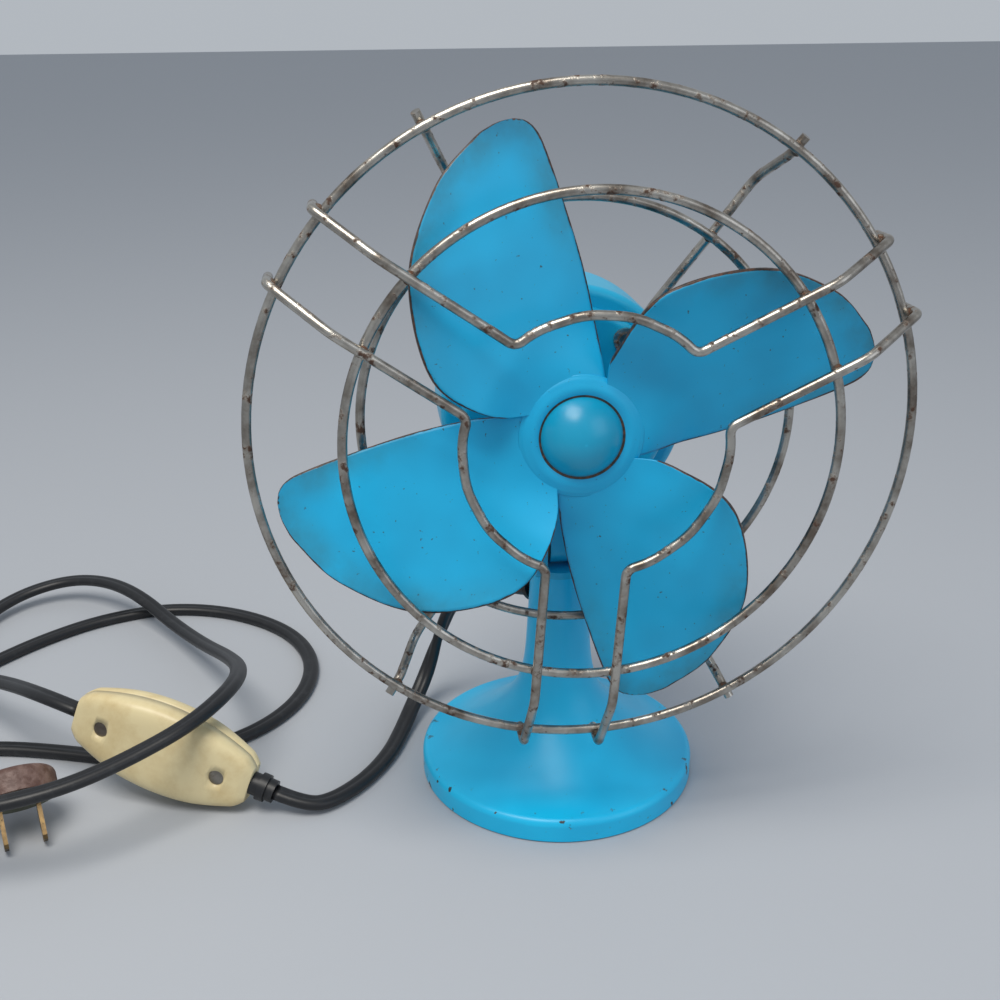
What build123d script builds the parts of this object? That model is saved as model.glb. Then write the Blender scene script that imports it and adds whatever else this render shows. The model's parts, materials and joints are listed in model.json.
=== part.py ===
"""Small desk fan: cast stand, friction tilt, shaded-pole motor, wire guard, lead, in-line switch, plug.

Millimetres. +Z is up, the fan blows towards -Y, and the origin is the middle of the base's
resting face. The head is drawn in its own frame: origin at the middle of the hub, x to the
right, y up across the fan axis and z forward along it.
"""

import os
from math import asin, cos, degrees, hypot, pi, radians, sin, sqrt, tan

from build123d import *

os.makedirs("parts", exist_ok=True)

# ---------------------------------------------------------------- stand
BASE_R = 50.0  # outside radius of the foot
RIM_H = 9.0  # height of the foot's rim
RIM_ROUND = 2.6  # round on the rim's top edge
SHELL_WALL = 2.4  # casting thickness of the foot
STEP_UP = 0.5  # the casting hangs this far above the table
FLARE_R = 20.0  # radius where the slope turns into the flare
FLARE_Z = 27.0  # height of that place
COLUMN_R = 11.6  # column radius at the bottom of its taper
COLUMN_FOOT_Z = 52.0  # where the taper starts
COLUMN_TOP_R = 10.0  # column radius at its top
BORE_R = 5.6  # wireway up the column
PIVOT_Z = 91.0  # height of the tilt pivot
PAD_T = 1.5  # felt under the foot
PLATE_T = 1.5  # steel closing plate
BOSS_R = 4.2  # screw bosses under the foot
BOSS_PCR = 33.0  # radius of the circle that they stand on
SCREW_R = 1.5  # M3 screws

# ---------------------------------------------------------------- tilt joint
PIN_R = 2.45  # tilt bolt
PIN_CLEAR = 0.07  # running clearance of the bolt in the lug
LUG_W = 8.0  # lug thickness
EAR_T = 4.0  # yoke ear thickness
EAR_R = 7.0  # round of the ears and of the lug about the pivot
FIBRE_T = 0.7  # friction washer
GAP = 0.4  # air between pieces that move past each other

# ---------------------------------------------------------------- head
TILT = 4.0  # degrees that the fan looks up at rest
AXIS_RISE = 51.6  # pivot to fan axis
HUB_REACH = 48.2  # pivot forward to the hub's middle
MOTOR_R = 41.0  # housing radius
NOSE_R = 34.5  # radius of the stepped front of the housing
MOTOR_FRONT = -32.0  # axial places, forward positive
NOSE_BACK = -38.0
MOTOR_SPLIT = -56.0
MOTOR_BACK = -82.0
MOTOR_WALL = 1.6
REAR_ROUND = 13.0
SHAFT_R = 4.0
BUSH_CLEAR = 0.04  # running clearance of the shaft in its bushes
BUSH_R = 7.0
BUSH_L = 9.0
STATOR_R = 33.0
STATOR_YOKE = 7.0
STACK_FRONT = -47.0
STACK_BACK = -63.0
POLE_W = 13.0
ROTOR_R = 16.5
AIR_GAP = 0.4
TIE_R = 36.2  # circle of the two long housing screws

# ---------------------------------------------------------------- blade
BLADE_R = 96.0  # tip radius
BLADE_T = 1.0
BLADE_PLANE = -5.0  # middle of the sheet
BLADE_PITCH = 20.0
BLADE_COUNT = 4
DISC_R = 18.5  # flat middle of the blade
CAP_R = 13.0
CAP_H = 8.5
COLLAR_R = 8.5

# ---------------------------------------------------------------- guard
WIRE_R = 1.5
OUTER_R = 103.5
FRONT_R = 75.0
REAR_R = 69.5
OUTER_S = -6.0
FRONT_S = 9.0
REAR_S = -23.0
GUARD_TURN = -4.5  # degrees that the guard sits turned on the motor
GUARD_SHIFT = (2.0, 1.0)  # and how far off the axis it sits
ARC_R = 40.0  # middle arcs of the front wires
PAIR_GAP = 25.0  # distance between two neighbouring legs
SPOKE_HALF = 32.0  # spokes stand this many degrees either side of upright
EYE_PCR = 28.0
EYE_R = 4.0

# ---------------------------------------------------------------- lead
CORD_D = 5.2  # round tube with the section of the flat two-core lead
SWITCH_L = 68.0
SWITCH_W = 32.0
SWITCH_T = 17.0
SWITCH_WALL = 1.8
SWITCH_MID = (-142.3, -5.0, 20.2)
SWITCH_YAW = -20.5
SWITCH_SLOPE = 17.0
SWITCH_ROLL = 78.0
PLUG_FACE = (-191.0, -22.5, 12.7)
PLUG_R = 14.0
PLUG_T = 9.0
PIN_L = 15.0
PIN_SPACING = 12.7


def save(part, name):
    """Label a finished piece and write it to its own file."""
    part.label = name
    export_step(part, f"parts/{name}.step")


def head_plane(s=0.0, x=0.0, y=0.0):
    """A plane across the fan axis, s forward of the hub's middle."""
    return head * Pos(x, y, s)


def on_circle(radius, angle):
    """The point of a circle at an angle in degrees."""
    return radius * cos(radians(angle)), radius * sin(radians(angle))


turn = radians(TILT)
axis_dir = Vector(0, -cos(turn), sin(turn))
rise_dir = Vector(0, sin(turn), cos(turn))
pivot = Vector(0, 0, PIVOT_Z)
hub = pivot + rise_dir * AXIS_RISE + axis_dir * HUB_REACH
head = Plane(origin=hub, x_dir=(1, 0, 0), z_dir=axis_dir)
guard = Plane(head * Pos(*GUARD_SHIFT, 0) * Rot(0, 0, GUARD_TURN))

# ================================================================ stand body
ear_in = LUG_W / 2 + GAP + FIBRE_T
ear_out = ear_in + EAR_T
column_top = PIVOT_Z - EAR_R - GAP - 2.5
floor_z = PAD_T + PLATE_T
inner_r = BASE_R - SHELL_WALL

with BuildPart() as stand_shell:
    with BuildSketch(Plane.XZ):
        with BuildLine():
            outside = Polyline((0, STEP_UP), (BASE_R, STEP_UP), (BASE_R, RIM_H - RIM_ROUND))
            top_edge = RadiusArc(outside @ 1, (BASE_R - RIM_ROUND, RIM_H), -RIM_ROUND)
            flare = Spline(
                top_edge @ 1,
                (BASE_R * 0.7, RIM_H + 5.5),
                (FLARE_R, FLARE_Z),
                (COLUMN_R, COLUMN_FOOT_Z),
                tangents=((-1, 0.15), (-0.06, 1)),
            )
            Polyline(flare @ 1, (COLUMN_TOP_R, column_top), (0, column_top), (0, STEP_UP))
        make_face()
    revolve(axis=Axis.Z)
    with BuildSketch(Plane.XZ):
        with BuildLine():
            wall = Polyline((0, STEP_UP), (inner_r, STEP_UP), (inner_r, RIM_H - RIM_ROUND - 1))
            ceiling = Spline(
                wall @ 1,
                (BASE_R * 0.66, RIM_H + 1.5),
                (FLARE_R - 5, FLARE_Z - 5),
                (BORE_R, COLUMN_FOOT_Z - 8),
                tangents=((-1, 0.15), (-0.06, 1)),
            )
            Polyline(ceiling @ 1, (BORE_R, column_top), (0, column_top), (0, STEP_UP))
        make_face()
    revolve(axis=Axis.Z, mode=Mode.SUBTRACT)
    with BuildSketch(Plane.XY.offset(floor_z)):
        with PolarLocations(BOSS_PCR, 3, start_angle=90):
            Circle(BOSS_R)
    extrude(amount=RIM_H - floor_z + 2.6)
    with Locations(Pos(0, 0, floor_z)):
        with PolarLocations(BOSS_PCR, 3, start_angle=90):
            Hole(SCREW_R, depth=7)

with BuildPart() as base_plate:
    with BuildSketch(Plane.XY.offset(PAD_T)):
        Circle(inner_r - 0.5)
    extrude(amount=PLATE_T)
    with Locations(Pos(0, 0, PAD_T)):
        with PolarLocations(BOSS_PCR, 3, start_angle=90):
            CounterSinkHole(SCREW_R + 0.1, 2 * SCREW_R - 0.2, depth=PLATE_T, counter_sink_angle=90)

with BuildPart() as base_pad:
    with BuildSketch(Plane.XY):
        Circle(inner_r - 1.5)
    extrude(amount=PAD_T)

with BuildPart() as base_screw:
    with BuildSketch(Plane.XZ):
        with BuildLine():
            head_r = 2 * SCREW_R - 0.3
            Polyline(
                (0, PAD_T + 0.1),
                (head_r, PAD_T + 0.1),
                (SCREW_R - 0.05, PAD_T + 0.1 + head_r - SCREW_R + 0.05),
                (SCREW_R - 0.05, floor_z + 6),
                (0, floor_z + 6),
                close=True,
            )
        make_face()
    revolve(axis=Axis.Z)
base_screws = Compound(children=[loc * copy for loc, copy in zip(
    PolarLocations(BOSS_PCR, 3, start_angle=90).locations, [base_screw.part] * 3)])

# The yoke: a spigot in the column's bore, a flange and two ears that hold the tilt bolt.
with BuildPart() as yoke:
    with BuildSketch(Plane.XY.offset(column_top - 14)):
        Circle(BORE_R)
    extrude(amount=14)
    with BuildSketch(Plane.XY.offset(column_top)):
        Circle(COLUMN_TOP_R)
    extrude(amount=2.5)
    with BuildSketch(Plane.YZ.offset(-ear_out)):
        with Locations((0, PIVOT_Z)):
            Circle(EAR_R)
        with Locations((0, (PIVOT_Z + column_top) / 2)):
            Rectangle(2 * EAR_R, PIVOT_Z - column_top)
    extrude(amount=2 * ear_out)
    with BuildSketch(Plane.YZ.offset(-ear_in)):
        with Locations((0, PIVOT_Z + EAR_R - (PIVOT_Z - column_top - 2.5) / 2)):
            Rectangle(4 * EAR_R, PIVOT_Z - column_top - 2.5 + 2 * EAR_R)
    extrude(amount=2 * ear_in, mode=Mode.SUBTRACT)
    with Locations(Plane.YZ.offset(ear_out) * Pos(0, PIVOT_Z, 0)):
        Hole(PIN_R + 0.05, depth=2 * ear_out)
    with Locations(Pos(0, 0, column_top - 14)):
        Hole(BORE_R - 2.0, depth=14 - 0.5)

with BuildPart() as friction_washers:
    for side in (-1, 1):
        with BuildSketch(Plane.YZ.offset(side * (ear_in - FIBRE_T / 2))):
            with Locations((0, PIVOT_Z)):
                Circle(EAR_R - 0.8)
                Circle(PIN_R + 0.15, mode=Mode.SUBTRACT)
        extrude(amount=FIBRE_T / 2, both=True)

WASHER_T = 1.0
with BuildPart() as tilt_washers:
    for side in (-1, 1):
        with BuildSketch(Plane.YZ.offset(side * (ear_out + WASHER_T / 2))):
            with Locations((0, PIVOT_Z)):
                Circle(EAR_R - 1.6)
                Circle(PIN_R + 0.1, mode=Mode.SUBTRACT)
        extrude(amount=WASHER_T / 2, both=True)

bolt_left = ear_out + WASHER_T
NUT_H = 5.0
with BuildPart() as tilt_bolt:
    with BuildSketch(Plane.YZ.offset(-bolt_left)):
        with Locations((0, PIVOT_Z)):
            Circle(PIN_R)
    extrude(amount=2 * bolt_left + NUT_H + 1.5)
    with BuildSketch(Plane.YZ.offset(-bolt_left)):
        with Locations((0, PIVOT_Z)):
            RegularPolygon(4.2, 6)
    extrude(amount=-3.2)
    chamfer(tilt_bolt.edges().group_by(Axis.X)[0], 0.5)

with BuildPart() as wing_nut:
    with BuildSketch(Plane.YZ.offset(bolt_left)):
        with Locations((0, PIVOT_Z)):
            Circle(4.4)
    extrude(amount=NUT_H, taper=8)
    with BuildSketch(Plane.XY.offset(PIVOT_Z)):
        with Locations((bolt_left + NUT_H / 2 + 1.6, 5.4), (bolt_left + NUT_H / 2 + 1.6, -5.4)):
            SlotOverall(7.6, 5.2)
    extrude(amount=0.9, both=True)
    with Locations(Plane.YZ.offset(bolt_left) * Pos(0, PIVOT_Z, 0)):
        Hole(PIN_R, depth=30)
    fillet(wing_nut.edges().filter_by(Plane.XY).filter_by(GeomType.CIRCLE), 0.4)

# Where the lead leaves the column: behind it and to the left, a little downwards.
GROMMET_Z = 70.0
GROMMET_L = 22.0
exit_dir = Vector(-0.60, 0.74, -0.30).normalized()
column_r_there = COLUMN_TOP_R + (COLUMN_R - COLUMN_TOP_R) * 0.4
wall_point = Vector(-0.63 * column_r_there, 0.777 * column_r_there, GROMMET_Z)
grommet_plane = Plane(origin=wall_point - exit_dir * 3.5, z_dir=exit_dir)
cord_start = grommet_plane.origin + exit_dir * GROMMET_L
hole_plane = Plane(origin=wall_point - exit_dir * 6.0, z_dir=exit_dir)

with BuildPart(mode=Mode.PRIVATE) as grommet_hole:
    with BuildSketch(hole_plane):
        Circle(CORD_D / 2 + 1.7)
    extrude(amount=12)
stand_solid = stand_shell.part - grommet_hole.part

with BuildPart() as cord_grommet:
    with BuildSketch(grommet_plane):
        Circle(CORD_D / 2 + 1.7)
    with BuildSketch(grommet_plane.offset(GROMMET_L)):
        Circle(CORD_D / 2 + 0.7)
    loft()
    with BuildSketch(grommet_plane.offset(4.2)):
        Circle(CORD_D / 2 + 2.9)
    extrude(amount=1.8)

save(stand_solid, "stand_shell")
save(base_plate.part, "base_plate")
save(base_pad.part, "base_pad")
save(base_screws, "base_screws")
save(yoke.part, "yoke")
save(friction_washers.part, "friction_washers")
save(tilt_washers.part, "tilt_washers")
save(tilt_bolt.part, "tilt_bolt")
save(wing_nut.part, "wing_nut")
save(cord_grommet.part, "cord_grommet")

# ================================================================ motor
wall_r = MOTOR_R - MOTOR_WALL
bush_front = MOTOR_FRONT + 2.0  # the bush stands proud of the nose by this
bush_rear = MOTOR_BACK + 4.0 + BUSH_L
cover_in = MOTOR_BACK + MOTOR_WALL
RIB_T = 2.4
VENTS = 6

with BuildPart() as motor_front:
    with BuildSketch(head_plane(MOTOR_SPLIT)):
        Circle(MOTOR_R)
    extrude(amount=NOSE_BACK - MOTOR_SPLIT)
    with BuildSketch(head_plane(NOSE_BACK)):
        Circle(NOSE_R)
    extrude(amount=MOTOR_FRONT - NOSE_BACK)
    with BuildSketch(head_plane(MOTOR_FRONT)):
        Circle(BUSH_R + 2.5)
    extrude(amount=bush_front - MOTOR_FRONT)
    fillet(motor_front.edges().filter_by(GeomType.CIRCLE).filter_by(
        lambda edge: abs(edge.radius - NOSE_R) < 0.01).sort_by(Axis(hub, axis_dir))[-1], 2.5)
    fillet(motor_front.edges().filter_by(GeomType.CIRCLE).filter_by(
        lambda edge: abs(edge.radius - MOTOR_R) < 0.01).sort_by(Axis(hub, axis_dir))[-1], 3.0)
    with BuildSketch(head_plane(MOTOR_SPLIT)):
        Circle(wall_r)
    extrude(amount=NOSE_BACK - MOTOR_WALL - MOTOR_SPLIT, mode=Mode.SUBTRACT)
    with BuildSketch(head_plane(MOTOR_SPLIT)):
        Circle(NOSE_R - MOTOR_WALL)
    extrude(amount=MOTOR_FRONT - MOTOR_WALL - MOTOR_SPLIT, mode=Mode.SUBTRACT)
    with BuildSketch(head_plane(bush_front)):
        Circle(BUSH_R + 2.5)
    extrude(amount=-BUSH_L)
    with BuildSketch(head_plane(bush_front)):
        Circle(BUSH_R)
    extrude(amount=-BUSH_L, mode=Mode.SUBTRACT)
    # ribs inside that the stator seats on
    with BuildSketch(head_plane(MOTOR_SPLIT)):
        with PolarLocations((wall_r + STATOR_R) / 2 + 0.2, 4, start_angle=45):
            Rectangle(wall_r - STATOR_R + 0.4, RIB_T)
        Circle(STATOR_R, mode=Mode.SUBTRACT)
    extrude(amount=NOSE_BACK - MOTOR_WALL - MOTOR_SPLIT)
    # bosses for the two long screws
    with BuildSketch(head_plane(NOSE_BACK - MOTOR_WALL)):
        with Locations((TIE_R, 0), (-TIE_R, 0)):
            Circle(3.0)
    extrude(amount=-6)
    with BuildSketch(head_plane(NOSE_BACK - MOTOR_WALL - 6)):
        with Locations((TIE_R, 0), (-TIE_R, 0)):
            Circle(SCREW_R)
    extrude(amount=5, mode=Mode.SUBTRACT)
    # screw holes for the four eyes of the guard
    with BuildSketch(guard * Pos(0, 0, MOTOR_FRONT)):
        for angle in (90 - SPOKE_HALF, 90 + SPOKE_HALF, 270 - SPOKE_HALF, 270 + SPOKE_HALF):
            with Locations(on_circle(EYE_PCR, angle)):
                Circle(SCREW_R)
    extrude(amount=-MOTOR_WALL - 1, mode=Mode.SUBTRACT)

with BuildPart() as motor_rear:
    with BuildSketch(head_plane(MOTOR_SPLIT)):
        Circle(MOTOR_R)
    extrude(amount=MOTOR_BACK - MOTOR_SPLIT)
    fillet(motor_rear.edges().sort_by(Axis(hub, axis_dir))[0], REAR_ROUND)
    with BuildSketch(head_plane(MOTOR_SPLIT)):
        Circle(wall_r)
    extrude(amount=MOTOR_BACK + REAR_ROUND - MOTOR_SPLIT, mode=Mode.SUBTRACT)
    with BuildSketch(head_plane(MOTOR_BACK + REAR_ROUND)):
        Circle(MOTOR_R - REAR_ROUND + 5)
    extrude(amount=-(REAR_ROUND - MOTOR_WALL), mode=Mode.SUBTRACT, taper=20)
    with BuildSketch(head_plane(cover_in - 0.1)):
        Circle(BUSH_R + 2.0)
    extrude(amount=bush_rear - cover_in + 0.1)
    with BuildSketch(head_plane(bush_rear)):
        Circle(BUSH_R)
    extrude(amount=-BUSH_L, mode=Mode.SUBTRACT)
    with BuildSketch(head_plane(MOTOR_BACK)):
        with PolarLocations(20.0, VENTS, start_angle=30):
            SlotOverall(12.0, 3.2)
    extrude(amount=8, mode=Mode.SUBTRACT)
    with BuildSketch(head_plane(MOTOR_BACK)):
        with Locations((TIE_R, 0), (-TIE_R, 0)):
            Circle(3.4)
    extrude(amount=MOTOR_SPLIT - 6 - MOTOR_BACK, mode=Mode.SUBTRACT)
    with BuildSketch(head_plane(MOTOR_SPLIT - 6)):
        with Locations((TIE_R, 0), (-TIE_R, 0)):
            Circle(TIE_R - STATOR_R - 0.3)
            Circle(SCREW_R + 0.15, mode=Mode.SUBTRACT)
        Circle(wall_r + 0.2, mode=Mode.INTERSECT)
    extrude(amount=2)

with BuildPart() as housing_screws:
    with BuildSketch(head_plane(MOTOR_SPLIT - 6)):
        with Locations((TIE_R, 0), (-TIE_R, 0)):
            Circle(SCREW_R - 0.05)
    extrude(amount=NOSE_BACK - MOTOR_WALL - MOTOR_SPLIT + 5)
    with BuildSketch(head_plane(MOTOR_SPLIT - 6)):
        with Locations((TIE_R, 0), (-TIE_R, 0)):
            Circle(2.7)
    extrude(amount=-2)

with BuildPart() as tilt_lug:
    with BuildSketch(Plane.YZ.offset(-LUG_W / 2)):
        with Locations((0, PIVOT_Z)):
            Circle(EAR_R)
        with Locations((0, PIVOT_Z + AXIS_RISE / 4)):
            Rectangle(2 * EAR_R, AXIS_RISE / 2)
    extrude(amount=LUG_W)
    with BuildSketch(head_plane(NOSE_BACK + 20)):
        Circle(MOTOR_R)
    extrude(amount=MOTOR_BACK - NOSE_BACK - 40, mode=Mode.SUBTRACT)
    with Locations(Plane.YZ.offset(LUG_W / 2) * Pos(0, PIVOT_Z, 0)):
        Hole(PIN_R + PIN_CLEAR, depth=LUG_W)

with BuildPart() as stator_core:
    with BuildSketch(head_plane(STACK_BACK)):
        Circle(STATOR_R)
        Circle(STATOR_R - STATOR_YOKE, mode=Mode.SUBTRACT)
        with PolarLocations(STATOR_R - STATOR_YOKE - 4, 4):
            Rectangle(10, POLE_W)
        with PolarLocations(ROTOR_R + 2.6, 4):
            Rectangle(5.2, POLE_W + 6)
        Circle(ROTOR_R + AIR_GAP, mode=Mode.SUBTRACT)
    extrude(amount=STACK_FRONT - STACK_BACK)

coil_in = ROTOR_R + AIR_GAP + 5.0
coil_out = sqrt((STATOR_R - STATOR_YOKE) ** 2 - (POLE_W / 2 + 3.7) ** 2)
with BuildPart() as coil:
    with BuildSketch(head_plane((STACK_FRONT + STACK_BACK) / 2) * Pos(coil_in, 0, 0) * Rot(0, 90, 0)):
        Rectangle(STACK_FRONT - STACK_BACK + 7.4, POLE_W + 7.4)
        Rectangle(STACK_FRONT - STACK_BACK + 0.6, POLE_W + 0.6, mode=Mode.SUBTRACT)
    extrude(amount=coil_out - coil_in - 0.6)
    fillet(coil.edges().filter_by(Axis((0, 0, 0), (1, 0, 0))).group_by(SortBy.LENGTH)[-1], 0.6)
coil_turns = [head * Rot(0, 0, 90 * k) * head.to_local_coords(coil.part) for k in range(4)]
stator_coils = Compound(children=coil_turns)

with BuildPart() as front_bush:
    with BuildSketch(head_plane(bush_front)):
        Circle(BUSH_R)
        Circle(SHAFT_R + BUSH_CLEAR, mode=Mode.SUBTRACT)
    extrude(amount=-BUSH_L)

with BuildPart() as rear_bush:
    with BuildSketch(head_plane(bush_rear)):
        Circle(BUSH_R)
        Circle(SHAFT_R + BUSH_CLEAR, mode=Mode.SUBTRACT)
    extrude(amount=-BUSH_L)

save(motor_front.part, "motor_front")
save(motor_rear.part, "motor_rear")
save(housing_screws.part, "housing_screws")
save(tilt_lug.part, "tilt_lug")
save(stator_core.part, "stator_core")
save(stator_coils, "stator_coils")
save(front_bush.part, "front_bush")
save(rear_bush.part, "rear_bush")

# ================================================================ guard
def ring(radius, s):
    """One wire ring of the guard."""
    with BuildPart() as made:
        with BuildSketch(guard * Plane.XZ * Pos(radius, s, 0)):
            Circle(WIRE_R)
        revolve(axis=Axis(guard.origin, guard.z_dir))
    return made.part


def bent_wire(points, radii):
    """A round wire along straight legs and bends, given in the guard's own frame."""
    places = [guard.from_local_coords(Vector(*point)) for point in points]
    with BuildPart() as made:
        with BuildLine() as line:
            FilletPolyline(*places, radius=radii)
        with BuildSketch(Plane(origin=line.line @ 0, z_dir=line.line % 0)):
            Circle(WIRE_R)
        sweep(path=line.line)
    return made.part


leg_s = FRONT_S + 2 * WIRE_R
half_pair = PAIR_GAP / 2
corner = degrees(asin(half_pair / ARC_R))
hook_r = OUTER_R + 2 * WIRE_R
hook_x = sqrt(hook_r**2 - half_pair**2)


def leg_point(centre, side, along, s):
    """A point on a leg: along the radial line of a pair, beside it by half the pair's gap."""
    ax, ay = on_circle(1, centre)
    return ax * along - ay * side * half_pair, ay * along + ax * side * half_pair, s


front_wires = []
for centre in (30, 150, 270):
    start = centre + corner
    span = 120 - 2 * corner
    arc = [(*on_circle(ARC_R / cos(radians(span / 8)), start + span * (k + 0.5) / 4), leg_s)
           for k in range(4)]
    first = [leg_point(centre, 1, a, s) for a, s in ((hook_x, OUTER_S - 7), (hook_x, OUTER_S + 4),
             (FRONT_R + 9, leg_s), (ARC_R * cos(radians(corner)), leg_s))]
    last = [leg_point(centre + 120, -1, a, s) for a, s in ((ARC_R * cos(radians(corner)), leg_s),
            (FRONT_R + 9, leg_s), (hook_x, OUTER_S + 4), (hook_x, OUTER_S - 7))]
    radii = [3.5, 12.0, 3.5, 28.0, 28.0, 28.0, 28.0, 3.5, 12.0, 3.5]
    front_wires.append(bent_wire(first + arc + last, radii))
guard_front_wires = Compound(children=front_wires)

spoke_angles = (90 - SPOKE_HALF, 90 + SPOKE_HALF, 270 - SPOKE_HALF, 270 + SPOKE_HALF)
spoke_s = REAR_S - 2 * WIRE_R
eye_s = MOTOR_FRONT + WIRE_R + 0.2
rear_spokes = []
for angle in spoke_angles:
    profile = ((OUTER_R + 4.5, OUTER_S - 2 * WIRE_R + 1), (OUTER_R - 2, OUTER_S - 2 * WIRE_R - 1),
               (OUTER_R - 12, spoke_s + 2), (REAR_R, spoke_s), (EYE_PCR + 16, eye_s),
               (EYE_PCR + 2, eye_s))
    points = [(*on_circle(r, angle), s) for r, s in profile]
    wire = bent_wire(points, [6.0, 9.0, 40.0, 20.0])
    with BuildPart() as spoke:
        add(wire)
        with BuildSketch(guard * Pos(*on_circle(EYE_PCR, angle), MOTOR_FRONT)):
            Circle(EYE_R)
        extrude(amount=1.8)
        with BuildSketch(guard * Pos(*on_circle(EYE_PCR, angle), MOTOR_FRONT)):
            Circle(SCREW_R + 0.2)
        extrude(amount=8, mode=Mode.SUBTRACT)
        with BuildSketch(guard * Pos(*on_circle(EYE_PCR, angle), MOTOR_FRONT + 1.8)):
            Circle(3.1)
        extrude(amount=8, mode=Mode.SUBTRACT)
    rear_spokes.append(spoke.part)
guard_rear_spokes = Compound(children=rear_spokes)

with BuildPart() as guard_screws:
    for angle in spoke_angles:
        with BuildSketch(guard * Pos(*on_circle(EYE_PCR, angle), MOTOR_FRONT + 1.8)):
            Circle(2.8)
        extrude(amount=1.8)
        with BuildSketch(guard * Pos(*on_circle(EYE_PCR, angle), MOTOR_FRONT + 1.8)):
            Circle(SCREW_R - 0.05)
        extrude(amount=-1.8 - MOTOR_WALL - 2)

save(ring(OUTER_R, OUTER_S), "guard_outer_ring")
save(ring(FRONT_R, FRONT_S), "guard_front_ring")
save(ring(REAR_R, REAR_S), "guard_rear_ring")
save(guard_front_wires, "guard_front_wires")
save(guard_rear_spokes, "guard_rear_spokes")
save(guard_screws.part, "guard_screws")

# ================================================================ rotor
blade_back = BLADE_PLANE - BLADE_T / 2
blade_face = BLADE_PLANE + BLADE_T / 2
shaft_back = bush_rear - BUSH_L + 0.6
COLLAR_L = 12.0

with BuildPart() as rotor_shaft:
    with BuildSketch(head_plane(shaft_back)):
        Circle(SHAFT_R)
    extrude(amount=blade_face + 3 - shaft_back)
    chamfer(rotor_shaft.edges(), 0.4)

with BuildPart() as rotor_core:
    with BuildSketch(head_plane(STACK_BACK)):
        Circle(ROTOR_R)
        Circle(SHAFT_R, mode=Mode.SUBTRACT)
    extrude(amount=STACK_FRONT - STACK_BACK)

with BuildPart() as rotor_end_rings:
    for s, way in ((STACK_FRONT, 1), (STACK_BACK, -1)):
        with BuildSketch(head_plane(s)):
            Circle(ROTOR_R - 1.0)
            Circle(SHAFT_R + 4.0, mode=Mode.SUBTRACT)
        extrude(amount=2.5 * way)

with BuildPart() as thrust_washers:
    for s, way in ((bush_front - BUSH_L - GAP, -1), (bush_rear + GAP, 1)):
        with BuildSketch(head_plane(s)):
            Circle(SHAFT_R + 2.4)
            Circle(SHAFT_R, mode=Mode.SUBTRACT)
        extrude(amount=1.0 * way)

with BuildPart() as blade_collar:
    with BuildSketch(head_plane(blade_back)):
        Circle(COLLAR_R)
        Circle(SHAFT_R, mode=Mode.SUBTRACT)
    extrude(amount=-COLLAR_L)
    with BuildSketch(head * Plane(origin=(0, 0, blade_back - COLLAR_L / 2), z_dir=(0, 1, 0))):
        Circle(SCREW_R)
    extrude(amount=COLLAR_R + 1, mode=Mode.SUBTRACT)

with BuildPart() as set_screw:
    with BuildSketch(head * Plane(origin=(0, SHAFT_R, blade_back - COLLAR_L / 2), z_dir=(0, 1, 0))):
        Circle(SCREW_R - 0.05)
    extrude(amount=COLLAR_R - SHAFT_R - 0.3)

# One blade: the straight trailing edge, the round tip and the broad leading lobe.
def blade_outline():
    """Closed outline of the upper blade, seen along the axis."""
    tip = (-0.20 * BLADE_R, 0.978 * BLADE_R)
    with BuildSketch(mode=Mode.PRIVATE) as outline:
        with BuildLine():
            straight = Spline((7.7, 13.0), (5.5, 30), (1.0, 51.5), (-0.118 * BLADE_R, 0.92 * BLADE_R))
            top = Spline(straight @ 1, tip, (-0.453 * BLADE_R, 0.79 * BLADE_R),
                         tangents=(straight % 1, (-0.60, -0.8)))
            lobe = Spline(top @ 1, (-51.8, 51.5), (-46.0, 22.4), (-28.0, 9.2), (-13.0, 7.5),
                          tangents=(top % 1, (1, 0.0)))
            Line(lobe @ 1, straight @ 0)
        make_face()
    return outline.sketch


with BuildPart() as fan_blade:
    with BuildSketch(head_plane(blade_back)):
        Circle(DISC_R)
    extrude(amount=BLADE_T)
    for k in range(BLADE_COUNT):
        spin = Rot(0, 0, 360 / BLADE_COUNT * k)
        with BuildPart(mode=Mode.PRIVATE) as one:
            with BuildSketch(head * spin * Pos(0, 0, BLADE_PLANE - 30)):
                add(blade_outline())
            extrude(amount=60)
            with BuildSketch(head * spin * Rot(0, 0, 115) * Pos(0, 0, BLADE_PLANE)
                             * Rot(BLADE_PITCH, 0, 0)):
                Rectangle(4 * BLADE_R, 4 * BLADE_R)
            extrude(amount=BLADE_T / 2, both=True, mode=Mode.INTERSECT)
        add(one.part)
    for s, way in ((blade_face, 1), (blade_back, -1)):
        with BuildSketch(head_plane(s)):
            Circle(DISC_R - 2)
        extrude(amount=20 * way, mode=Mode.SUBTRACT)
    with BuildSketch(head_plane(blade_back)):
        Circle(SHAFT_R)
    extrude(amount=BLADE_T, mode=Mode.SUBTRACT)

cap_sphere_r = (CAP_R**2 + CAP_H**2) / (2 * CAP_H)
with BuildPart() as hub_cap:
    with BuildSketch(head * Plane.XZ):
        with BuildLine():
            lower = Line((0, blade_face), (CAP_R, blade_face))
            dome = ThreePointArc(
                lower @ 1,
                (CAP_R * 0.72, blade_face + CAP_H - cap_sphere_r + sqrt(cap_sphere_r**2 - (0.72 * CAP_R) ** 2)),
                (0, blade_face + CAP_H))
            Line(dome @ 1, lower @ 0)
        make_face()
    revolve(axis=Axis(head.origin, head.z_dir))
    with BuildSketch(head_plane(blade_face)):
        Circle(SHAFT_R + 1.5)
    extrude(amount=4.5, mode=Mode.SUBTRACT)

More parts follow.
